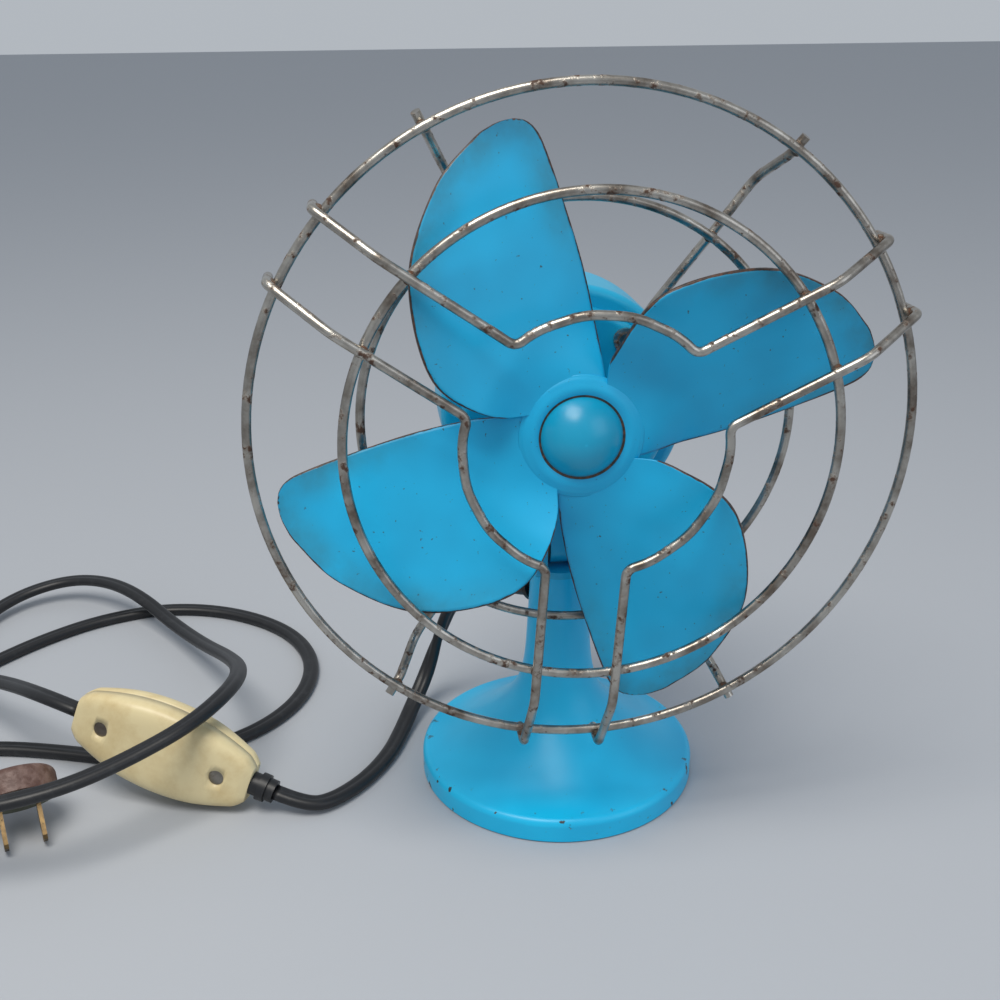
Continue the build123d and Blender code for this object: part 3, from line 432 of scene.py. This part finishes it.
def sheet_height(x, y):
    """How far forward the sheet stands at a place, in millimetres."""
    radius = math.hypot(x, y)
    across = -x * math.sin(PITCH_LINE) + y * math.cos(PITCH_LINE)
    twist = smoothstep(DISC_R - 4, DISC_R + 16, radius)
    scoop = 2.2 * smoothstep(20, 90, radius) * (across / 40) ** 2
    return SHEET_S + twist * PITCH * across + scoop


def lobe_mesh():
    """Rows of points between the two edges, with an attribute that is 1 at the outline."""
    tail, front = smooth_curve(trailing, ROWS), smooth_curve(leading, ROWS)
    verts, edge, grime = [], [], []
    for i in range(ROWS + 1):
        for j in range(COLUMNS + 1):
            p = tail[i].lerp(front[i], j / COLUMNS)
            verts.append(Vector((p.x, p.y, sheet_height(p.x, p.y))) * MM)
            gap = min((p - q).length for q in tail + front)
            outer = smoothstep(DISC_R, DISC_R + 8, math.hypot(p.x, p.y))
            edge.append(outer * (1 - smoothstep(0.0, 2.4, gap)))
            far_out = smoothstep(35, 80, math.hypot(p.x, p.y))
            grime.append(far_out * (1 - smoothstep(0.0, 13.0, gap)))
    step = COLUMNS + 1
    faces = [(i * step + j, i * step + j + 1, (i + 1) * step + j + 1, (i + 1) * step + j)
             for i in range(ROWS) for j in range(COLUMNS)]
    return verts, faces, edge, grime


verts, faces, edge, grime = lobe_mesh()
lobe = bpy.data.meshes.new("blade_lobe")
lobe.from_pydata([tuple(v) for v in verts], [], faces)
lobe.attributes.new("edge", "FLOAT", "POINT").data.foreach_set("value", edge)
lobe.attributes.new("grime", "FLOAT", "POINT").data.foreach_set("value", grime)
print("one lobe has", len(faces), "faces")


# %% [markdown]
# The tree below has its sizes as named inputs. It makes one point for each copy, turns each copy about
# the axis, and ends in Realize Instances and Set Material, so that what comes out is plain mesh.

# %% Geometry Nodes: repeat about an axis
def set_inputs(modifier, values):
    """Sets a Geometry Nodes modifier's inputs by their names, through their identifiers."""
    for item in modifier.node_group.interface.items_tree:
        if item.item_type == "SOCKET" and item.in_out == "INPUT" and item.name in values:
            modifier[item.identifier] = values[item.name]


def group_with(name, sockets):
    """A Geometry Nodes tree with a geometry in and out and the given named inputs."""
    tree = bpy.data.node_groups.new(name, "GeometryNodeTree")
    tree.interface.new_socket("Geometry", in_out="INPUT", socket_type="NodeSocketGeometry")
    tree.interface.new_socket("Geometry", in_out="OUTPUT", socket_type="NodeSocketGeometry")
    for label, kind, default in sockets:
        socket = tree.interface.new_socket(label, in_out="INPUT", socket_type=kind)
        if default is not None:
            socket.default_value = default
    return tree, tree.nodes.new("NodeGroupInput"), tree.nodes.new("NodeGroupOutput")


def end_tree(tree, geometry, group_in, group_out):
    """Realize Instances, Set Material, out."""
    real = add(tree, "GeometryNodeRealizeInstances", inputs={"Geometry": geometry})
    painted = add(tree, "GeometryNodeSetMaterial", inputs={
        "Geometry": real.outputs[0], "Material": group_in.outputs["Material"]})
    tree.links.new(painted.outputs[0], group_out.inputs[0])


repeat, rep_in, rep_out = group_with("repeat_about_z", [
    ("Copies", "NodeSocketInt", 4), ("Material", "NodeSocketMaterial", None)])
index = add(repeat, "GeometryNodeInputIndex").outputs[0]
share = add(repeat, "ShaderNodeMath", {"operation": "DIVIDE"}, {0: index, 1: rep_in.outputs["Copies"]})
angle = add(repeat, "ShaderNodeMath", {"operation": "MULTIPLY"}, {0: share.outputs[0], 1: math.tau})
spin = add(repeat, "ShaderNodeCombineXYZ", inputs={"Z": angle.outputs[0]})
points = add(repeat, "GeometryNodePoints", inputs={"Count": rep_in.outputs["Copies"]})
placed = add(repeat, "GeometryNodeInstanceOnPoints", inputs={
    "Points": points.outputs[0], "Instance": rep_in.outputs["Geometry"], "Rotation": spin.outputs[0]})
end_tree(repeat, placed.outputs[0], rep_in, rep_out)
print("tree", repeat.name, "has", len(repeat.nodes), "nodes")

# %% The four lobes
wheel = bpy.data.objects.new("blade_wheel", lobe)
bpy.context.collection.objects.link(wheel)
turned = wheel.modifiers.new("copies", "NODES")
turned.node_group = repeat
set_inputs(turned, {"Copies": 4, "Material": blade_enamel})
sheet = wheel.modifiers.new("sheet", "SOLIDIFY")
sheet.thickness = SHEET_T * MM
sheet.offset = 0
baked(wheel)
wheel.data.transform(head)
for face in wheel.data.polygons:
    face.use_smooth = True
print("blade wheel has", len(wheel.data.polygons), "faces")


# %% [markdown]
# The middle of the pressing is turned: its raised ring, the flat under the dome and the step down to
# the lobes are one profile, spun about the axis. The profile is closed, so the piece has both faces.
# A dark ring round the dome, where it sits on the sheet, is painted shade of the groove there.

# %% The pressed middle
def lathe(name, profile, place, finish, steps=96):
    """A closed profile of (radius, height) in millimetres, spun about z and put in its place."""
    verts, faces = [], []
    count = len(profile)
    for i in range(steps):
        a = math.tau * i / steps
        verts += [Vector((r * math.cos(a), r * math.sin(a), h)) * MM for r, h in profile]
    for i in range(steps):
        for j in range(count):
            here, there = i * count, (i + 1) % steps * count
            k = (j + 1) % count
            faces.append((here + j, there + j, there + k, here + k))
    made = new_object(name, verts, faces, finish)
    made.data.transform(place)
    return made


RING_R, RING_W, RING_RISE = 15.2, 4.0, 1.1
INNER_R, RADIAL_RUN, RADIAL_STEPS = 4.2, 15.4, 44
face_s = SHEET_S + SHEET_T / 2 + 0.12


def shoulder(r):
    """How far forward the face stands at this radius: the raised ring and the step to the lobes."""
    ring = RING_RISE * math.exp(-((r - RING_R) / RING_W * 1.6) ** 2)
    return face_s + ring - 0.5 * smoothstep(18, 19.6, r)


radii = [INNER_R + RADIAL_RUN * k / RADIAL_STEPS for k in range(RADIAL_STEPS + 1)]
top = [(r, shoulder(r)) for r in radii]
bottom = [(r, min(h - SHEET_T - 0.1, face_s - SHEET_T - 0.1)) for r, h in reversed(top)]
middle = lathe("blade_middle", top + bottom, Matrix.Identity(4), blade_enamel)
dome_points = [head.inverted() @ v.co for v in nodes["hub_cap"].data.vertices]
cap_r = max(math.hypot(q.x, q.y) for q in dome_points)
# Painted shade: a dark ring in the groove round the dome, laid into the edge attribute of the pressed
# middle.
painted_groove_shade = [1.3 * (1 - smoothstep(0.2, 1.0, abs(math.hypot(v.co.x, v.co.y) - cap_r) / MM))
        for v in middle.data.vertices]
middle.data.attributes.new("edge", "FLOAT", "POINT").data.foreach_set("value", painted_groove_shade)
middle.data.transform(head)
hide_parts("fan_blade")
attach(wheel, "rotor")
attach(middle, "rotor")
print("middle ring rises", RING_RISE, "mm, dome radius", round(cap_r / MM, 1))

# %% [markdown]
# ## Welds
# Where a wire of the cage meets a ring, the weld leaves a small lump of scale. The lumps are the same
# thing over and over, so a tree puts a rough little ball on each crossing, with a fixed seed.

# %% Crossings of the cage
WIRE_R = 1.5
OUTER_R, OUTER_S = 103.5, -6.0
FRONT_R, FRONT_S = 75.0, 9.0
REAR_R, REAR_S = 69.5, -23.0
HALF_PAIR = 12.5


def crossing(radius, s, centre, side):
    """Where a leg beside a pair's centre line crosses a circle, in the guard's frame."""
    along = math.sqrt(radius**2 - HALF_PAIR**2)
    c, d = math.cos(math.radians(centre)), math.sin(math.radians(centre))
    return Vector((c * along - d * side * HALF_PAIR, d * along + c * side * HALF_PAIR, s))


spots = []
for centre in (30, 150, 270):
    for side in (-1, 1):
        spots.append(crossing(OUTER_R + WIRE_R, OUTER_S, centre, side))
        spots.append(crossing(FRONT_R, FRONT_S + WIRE_R, centre, side))
for angle in (58, 122, 238, 302):
    c, d = math.cos(math.radians(angle)), math.sin(math.radians(angle))
    spots.append(Vector((c * OUTER_R, d * OUTER_R, OUTER_S - WIRE_R)))
    spots.append(Vector((c * REAR_R, d * REAR_R, REAR_S - WIRE_R)))
print(len(spots), "welds")

# %% Geometry Nodes: a lump on each crossing
lumps, lump_in, lump_out = group_with("lump_on_points", [
    ("Size", "NodeSocketFloat", 2 * MM), ("Seed", "NodeSocketInt", 7),
    ("Material", "NodeSocketMaterial", None)])
ball = add(lumps, "GeometryNodeMeshIcoSphere", inputs={
    "Radius": lump_in.outputs["Size"], "Subdivisions": 3})
uneven = add(lumps, "FunctionNodeRandomValue", {"data_type": "FLOAT_VECTOR"}, {
    0: (0.75, 0.75, 0.75), 1: (1.15, 1.15, 1.15), "Seed": lump_in.outputs["Seed"]})
seeds = add(lumps, "GeometryNodeMeshToPoints", inputs={"Mesh": lump_in.outputs["Geometry"]})
put = add(lumps, "GeometryNodeInstanceOnPoints", inputs={
    "Points": seeds.outputs[0], "Instance": ball.outputs[0], "Scale": uneven.outputs[0]})
end_tree(lumps, put.outputs[0], lump_in, lump_out)
weld_mesh = bpy.data.meshes.new("guard_welds")
weld_mesh.from_pydata([tuple(p * MM) for p in spots], [], [])
welds = bpy.data.objects.new("guard_welds", weld_mesh)
bpy.context.collection.objects.link(welds)
dabs = welds.modifiers.new("lumps", "NODES")
dabs.node_group = lumps
set_inputs(dabs, {"Size": 1.95 * MM, "Seed": 7, "Material": weld_scale})
baked(welds)
welds.data.transform(guard)
for face in welds.data.polygons:
    face.use_smooth = True
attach(welds, "head")
print("welds have", len(welds.data.polygons), "faces")


# %% [markdown]
# ## In-line switch
# Two boat-shaped halves, moulded and screwed together. A CAD solid has hard edges; the real moulding
# has soft ones. Each half is a row of rounded sections along the switch, so every edge is soft, and
# the holes for its two screws are cut out of the back half.

# %% The switch's frame and its sections
SWITCH_L, SWITCH_W, SWITCH_T = 68.0, 32.0, 17.0
END_W, END_T = 17.0, 11.5
switch_mid = Vector((-142.3, -5.0, 20.2)) * MM
switch = (Matrix.Translation(switch_mid) @ Matrix.Rotation(math.radians(-20.5), 4, "Z")
          @ Matrix.Rotation(math.radians(17), 4, "Y") @ Matrix.Rotation(math.radians(78), 4, "X"))
GAP = 0.12  # half of the parting line
SQUARENESS = 0.42  # power of the section's outline: 1 is an ellipse, smaller is squarer


def half_section(x, way, count=26):
    """Points of one half's outline at x: a squared round above the parting plane, closed by a flat."""
    reach = SWITCH_L / 2
    near_end = smoothstep(0, 4.0, reach - abs(x))
    round_in = 0.80 + 0.20 * math.sqrt(near_end)
    wide = (END_W / 2 + (SWITCH_W - END_W) / 2 * (1 - (x / reach) ** 2)) * round_in
    fall = smoothstep(12, reach, abs(x))
    high = (SWITCH_T / 2 - (SWITCH_T - END_T) / 2 * fall) * round_in
    out = []
    for k in range(count + 1):
        a = math.pi * k / count
        c, s = math.cos(a), math.sin(a)
        y = wide * math.copysign(abs(c) ** SQUARENESS, c)
        z = GAP + (high - GAP) * abs(s) ** SQUARENESS
        out.append(Vector((x, y, way * z)))
    return out


def switch_half(name, way):
    """One closed half of the switch."""
    stations = [-SWITCH_L / 2 + SWITCH_L * (1 - math.cos(math.pi * k / 60)) / 2 for k in range(61)]
    rows = [half_section(x, way) for x in stations]
    count = len(rows[0])
    verts = [p * MM for row in rows for p in row]
    faces = [(i * count + j, (i + 1) * count + j,
              (i + 1) * count + (j + 1) % count, i * count + (j + 1) % count)
             for i in range(len(rows) - 1) for j in range(count)]
    faces.append(tuple(range(count)))
    faces.append(tuple(range((len(rows) - 1) * count, len(rows) * count)))
    return new_object(name, verts, faces, ivory)


back_half = switch_half("switch_back_shell", 1)
front_half = switch_half("switch_front_shell", -1)
print("switch half has", len(back_half.data.polygons), "faces")


# %% Holes for the screws and the slider
def cut(target, shape):
    """Takes a shape out of a piece and throws the shape away."""
    boolean = target.modifiers.new("cut", "BOOLEAN")
    boolean.operation = "DIFFERENCE"
    boolean.solver = "EXACT"
    boolean.object = shape
    baked(target)
    bpy.data.objects.remove(shape)


def round_bar(radius, low, high, x, y=0.0):
    """A cylinder along the switch's z for cutting a hole, in millimetres."""
    made = new_object("cutter", *cylinder(radius, low, high))
    made.data.transform(Matrix.Translation((x * MM, y * MM, 0)))
    return made


def cylinder(radius, low, high, steps=40):
    """Verts and faces of a closed cylinder along z."""
    angles = [math.tau * k / steps for k in range(steps)]
    ring = [(radius * math.cos(a), radius * math.sin(a)) for a in angles]
    verts = [Vector((x, y, low)) * MM for x, y in ring] + [Vector((x, y, high)) * MM for x, y in ring]
    faces = [(k, (k + 1) % steps, steps + (k + 1) % steps, steps + k) for k in range(steps)]
    return verts, faces + [tuple(range(steps)), tuple(range(steps, 2 * steps))]


def block(x0, x1, y0, y1, z0, z1):
    """Verts and faces of a box."""
    verts = [Vector((x, y, z)) * MM for z in (z0, z1) for x, y in ((x0, y0), (x1, y0), (x1, y1), (x0, y1))]
    return verts, [(0, 1, 2, 3), (4, 5, 6, 7), (0, 1, 5, 4), (1, 2, 6, 5), (2, 3, 7, 6), (3, 0, 4, 7)]


SCREW_X, SCREW_HOLE_R, SCREW_SEAT = 22.5, 2.9, 4.4
for x in (-SCREW_X, SCREW_X):
    cut(back_half, round_bar(SCREW_HOLE_R, SCREW_SEAT, 20, x))
cut(front_half, new_object("cutter", *block(-5.0, 10.0, -4.0, 4.0, -20, -4)))
for half, node in ((back_half, "switch_back"), (front_half, "switch_front")):
    half.data.transform(switch)
    for face in half.data.polygons:
        face.use_smooth = True
    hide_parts(node)
    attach(half, "stand")
print("holes cut")


# %% [markdown]
# ## Lead
# Two cores side by side in one skin: the section is a flat figure of eight, 6.4 by 4 mm, with a groove
# along each side. It leaves the column, drops to the table, runs to the switch, and from there lies in
# loose loops to the plug. Its line is a NURBS curve through listed points, and the skin is laid
# along points read from that curve, so that the flat of the lead stays down on the table.

# %% The lead's lines
CORD_W, CORD_H = 6.4, 4.0
LYING = CORD_H / 2 + 0.05
fan_side = [
    (-17.82, 21.97, 64.44), (-26.23, 32.34, 60.24), (-35.0, 46.0, 45.0), (-40.5, 50.0, 28.0),
    (-46.0, 46.0, 13.0), (-52.0, 36.0, 5.6), (-57.0, 23.0, 2.5), (-62.5, 7.5, LYING),
    (-71.5, -7.5, LYING), (-83.5, -20.0, 2.8), (-93.03, -23.42, 4.12), (-103.78, -19.40, 7.63),
]
plug_side = [
    (-172.76, 6.39, 30.14), (-185.30, 11.08, 34.23), (-207.0, 40.0, 24.0), (-226.0, 58.0, 17.0),
    (-239.0, 82.0, 11.0), (-244.0, 107.0, 5.0), (-240.0, 131.0, 5.0), (-226.0, 149.0, 7.0),
    (-206.0, 154.5, 10.0), (-187.0, 145.0, 13.0), (-170.0, 128.0, 13.5), (-153.0, 107.0, 9.0),
    (-137.0, 80.0, 13.0), (-124.0, 53.0, 22.0), (-117.0, 28.0, 31.0), (-118.0, 3.0, 38.0),
    (-130.0, -19.0, 38.0), (-150.0, -32.0, 34.0), (-168.0, -44.0, 33.0), (-188.0, -50.0, 32.0),
    (-209.0, -48.0, 28.0), (-228.0, -36.0, 20.0), (-241.0, -14.0, 8.0), (-245.0, 12.0, LYING),
    (-235.0, 27.0, LYING), (-214.0, 30.0, LYING), (-184.0, 23.0, LYING), (-159.0, 14.5, LYING),
    (-134.0, 17.0, LYING), (-110.0, 31.0, LYING), (-95.0, 54.0, LYING), (-92.0, 82.0, LYING),
    (-104.0, 109.0, LYING), (-130.0, 129.0, LYING), (-160.0, 136.0, LYING), (-188.0, 128.0, LYING),
    (-210.0, 113.0, LYING), (-228.0, 95.0, LYING), (-243.0, 77.0, LYING), (-252.5, 56.0, 3.0),
    (-253.5, 34.0, 7.5), (-249.0, 12.0, 19.5), (-238.5, -4.5, 28.5), (-224.82, -13.01, 30.83),
    (-215.79, -14.58, 26.82),
]


def line_points(route):
    """Points read from a NURBS curve of order 3 through the route's control points."""
    data = bpy.data.curves.new("lead_line", "CURVE")
    data.dimensions = "3D"
    data.resolution_u = 10
    spline = data.splines.new("NURBS")
    spline.points.add(len(route) - 1)
    for point, place in zip(spline.points, route):
        point.co = (*[v * MM for v in place], 1)
    spline.order_u = 3
    spline.use_endpoint_u = True
    carrier = bpy.data.objects.new("lead_line", data)
    bpy.context.collection.objects.link(carrier)
    mesh = bpy.data.meshes.new_from_object(carrier)
    places = [v.co.copy() for v in mesh.vertices]
    bpy.data.objects.remove(carrier)
    bpy.data.meshes.remove(mesh)
    return places


def length_of(places):
    """Length of a line of points."""
    return sum((b - a).length for a, b in zip(places, places[1:]))


# %% Laying the skin along a line
def figure_of_eight(count=14):
    """Outline of the lead's section: two round cores with a groove between, in millimetres."""
    core = CORD_H / 2
    shift = CORD_W / 2 - core
    meet = math.acos(min(shift * 0.80 / core, 1))
    out = []
    for side in (1, -1):
        start = -math.pi + meet if side == 1 else meet
        sweep = 2 * (math.pi - meet)
        for k in range(count + 1):
            a = start + sweep * k / count
            out.append((side * shift + core * math.cos(a), core * math.sin(a)))
    return out


TURN_FROM, TURN_TO = 0.10, 0.38  # shares of the lead's length between which it turns flat


def flat_sides(places, twist_free):
    """Across-direction of the lead at each point: level, or free of twist first and level later."""
    ways = [(b - a).normalized() for a, b in zip(places, places[1:])]
    ways.append(ways[-1])
    level = [way.cross(Vector((0, 0, 1))).normalized() for way in ways]
    if not twist_free:
        return ways, level
    carried = [level[0]]
    for way in ways[1:]:
        side = carried[-1] - way * carried[-1].dot(way)
        carried.append(side.normalized())
    sides, before = [], 0.0
    last = len(places) - 1
    for k, (way, side, flat) in enumerate(zip(ways, carried, level)):
        turn = math.atan2(side.cross(flat).dot(way), side.dot(flat))
        turn -= math.pi * round((turn - before) / math.pi)
        before = turn
        sides.append(Matrix.Rotation(turn * smoothstep(TURN_FROM, TURN_TO, k / last), 3, way) @ side)
    return ways, sides


def lay_lead(name, places, twist_free=False):
    """The lead's skin along a line of points, closed at both ends."""
    section = figure_of_eight()
    ways, sides = flat_sides(places, twist_free)
    verts, faces = [], []
    count = len(section)
    for place, way, side in zip(places, ways, sides):
        rise = side.cross(way).normalized()
        verts += [place + (side * a + rise * b) * MM for a, b in section]
    for i in range(len(places) - 1):
        for j in range(count):
            k = (j + 1) % count
            faces.append((i * count + j, i * count + k, (i + 1) * count + k, (i + 1) * count + j))
    faces.append(tuple(range(count)))
    faces.append(tuple(range((len(places) - 1) * count, len(places) * count)))
    return new_object(name, verts, faces, vinyl)


fan_line, plug_line = line_points(fan_side), line_points(plug_side)
fan_lead = lay_lead("lead_fan_side", fan_line, True)
plug_lead = lay_lead("lead_plug_side", plug_line)
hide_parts("cord_fan_side")
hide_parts("cord_plug_side")
for piece in (fan_lead, plug_lead):
    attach(piece, "stand")
print("lead", round(length_of(fan_line), 3), "and", round(length_of(plug_line), 3), "m")
